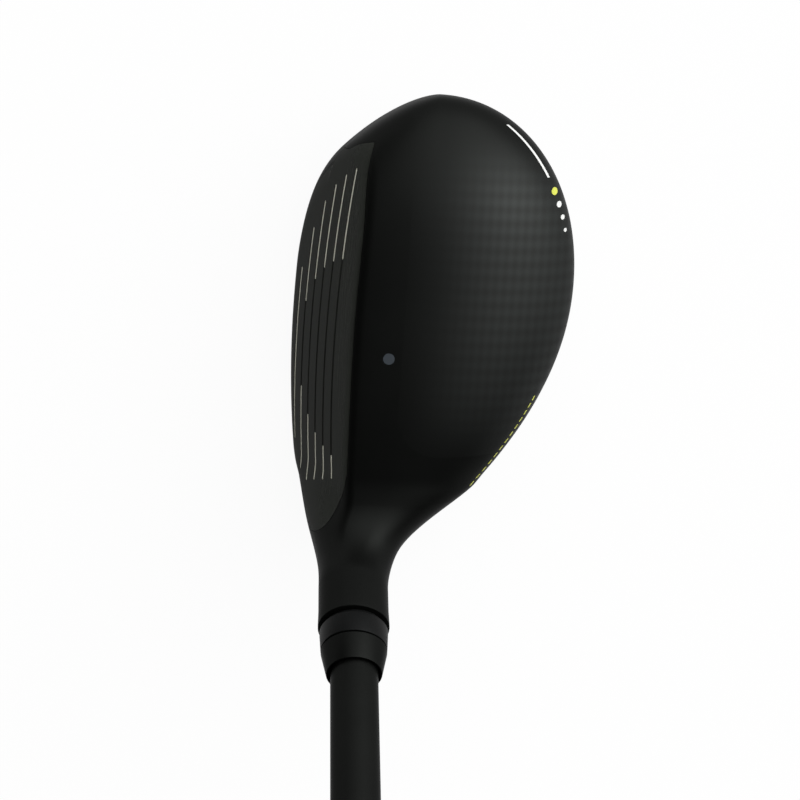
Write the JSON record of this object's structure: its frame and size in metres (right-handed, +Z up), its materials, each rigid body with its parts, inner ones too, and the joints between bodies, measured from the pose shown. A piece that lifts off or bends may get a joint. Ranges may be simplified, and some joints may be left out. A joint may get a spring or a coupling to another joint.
{
  "type": "hybrid golf club",
  "caption": "Right-handed hybrid golf club: rounded hollow head with a lofted grooved face, a keyed adjustable hosel, a slim tapered shaft, a rubber grip and a screwed-in sole weight.",
  "frame": {"origin": "on the ground, on the flat under the sole, with the club soled as at address", "axes": "+Z up, -X the way the face looks, +Y towards the toe; the shaft rises towards -Y"},
  "size_m": [0.0579, 0.6126, 0.8678],
  "materials": {
    "cast_steel": "cast stainless steel under satin black paint",
    "face_steel": "dark forged steel with fine milling along the face, paint in the score lines",
    "carbon_crown": "carbon composite under satin black paint, weave showing at the rear",
    "sleeve_aluminium": "charcoal anodised aluminium",
    "ferrule_plastic": "satin charcoal moulded plastic",
    "graphite": "satin black painted graphite",
    "grip_rubber": "black moulded rubber",
    "tape": "white double-sided cotton tape",
    "screw_steel": "black oxide steel",
    "washer_steel": "plain stainless steel",
    "nylon": "black nylon",
    "weight_metal": "sintered tungsten alloy, turned"
  },
  "bodies": {
    "head": {"head_body": "cast_steel", "face_plate": "face_steel", "crown_shell": "carbon_crown", "screw_washer": "washer_steel", "screw_retainer": "nylon"},
    "hosel_screw": {"hosel_screw": "screw_steel"},
    "shaft_assembly": {"adapter_sleeve": "sleeve_aluminium", "ferrule": "ferrule_plastic", "shaft": "graphite", "grip_tape": "tape", "grip": "grip_rubber"},
    "sole_weight": {"sole_weight": "weight_metal"},
    "weight_screw": {"weight_screw": "screw_steel"}
  },
  "joints": [
    {"name": "hosel_screw_turn", "type": "hinge", "parent": "head", "child": "hosel_screw", "pos_m": [-0.012, -0.05094, 0.05], "axis": [0, 0.5225, -0.8526], "range_deg": [0, 2880]},
    {"name": "shaft_lift", "type": "slide", "parent": "head", "child": "shaft_assembly", "axis": [0, -0.5225, 0.8526], "range_m": [0, 0.0064]},
    {"name": "weight_lift", "type": "slide", "parent": "head", "child": "sole_weight", "axis": [0.1392, 0, -0.9903], "range_m": [0, 0.0056]},
    {"name": "weight_screw_turn", "type": "hinge", "parent": "sole_weight", "child": "weight_screw", "pos_m": [0.013, 0.014, 0.0009], "axis": [0.1392, 0, -0.9903], "range_deg": [0, 2880]}
  ],
  "couplings": [
    {"joint": "hosel_screw_turn", "follows": "shaft_lift", "rad_per_m": 7853.9},
    {"joint": "weight_screw_turn", "follows": "weight_lift", "rad_per_m": 8975.9}
  ]
}
